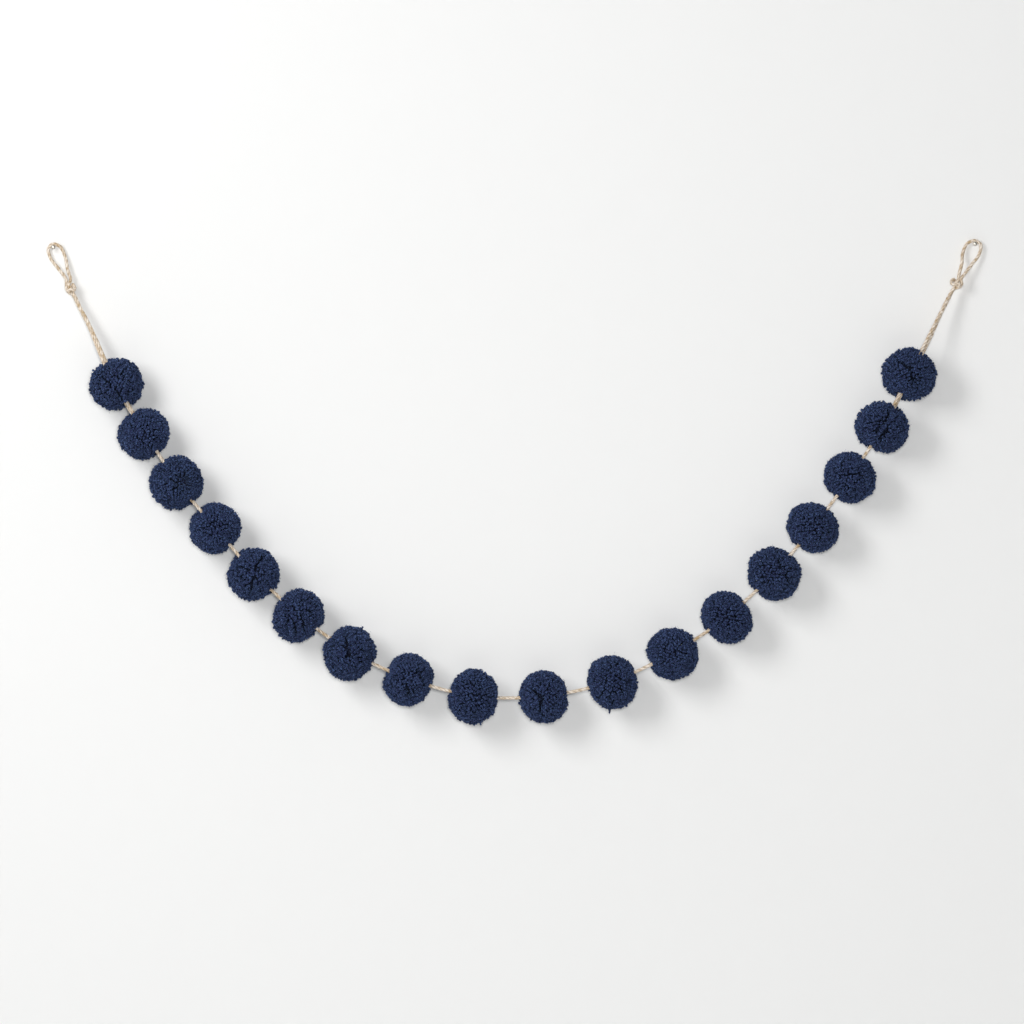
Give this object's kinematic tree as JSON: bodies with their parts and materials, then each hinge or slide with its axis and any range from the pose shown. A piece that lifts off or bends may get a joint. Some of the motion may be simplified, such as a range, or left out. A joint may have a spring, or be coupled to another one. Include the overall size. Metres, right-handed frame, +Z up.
{
  "type": "pom-pom garland with wall pins",
  "caption": "Garland of dense yarn pompoms threaded on jute twine, hung in a U by the knotted loops at its ends from small wall pins.",
  "frame": {"origin": "middle of the left wall pin's back end, on the wall's surface", "axes": "+X along the wall to the right pin, +Y into the wall, +Z up; the garland hangs on the -Y side"},
  "size_m": [0.8695, 0.0545, 0.4513],
  "materials": {
    "navy_yarn": "cut ends of plied navy yarn, matt and dense",
    "jute_twine": "plied jute, dry and slightly hairy",
    "bright_steel": "bright drawn steel"
  },
  "bodies": {
    "root": {"pompom_01": "navy_yarn", "pompom_02": "navy_yarn", "pompom_03": "navy_yarn", "pompom_04": "navy_yarn", "pompom_05": "navy_yarn", "pompom_06": "navy_yarn", "pompom_07": "navy_yarn", "pompom_08": "navy_yarn", "pompom_09": "navy_yarn", "pompom_10": "navy_yarn", "pompom_11": "navy_yarn", "pompom_12": "navy_yarn", "pompom_13": "navy_yarn", "pompom_14": "navy_yarn", "pompom_15": "navy_yarn", "pompom_16": "navy_yarn", "pompom_17": "navy_yarn", "pompom_18": "navy_yarn", "twine": "jute_twine", "wall_pin_left": "bright_steel", "wall_pin_right": "bright_steel"}
  },
  "joints": []
}
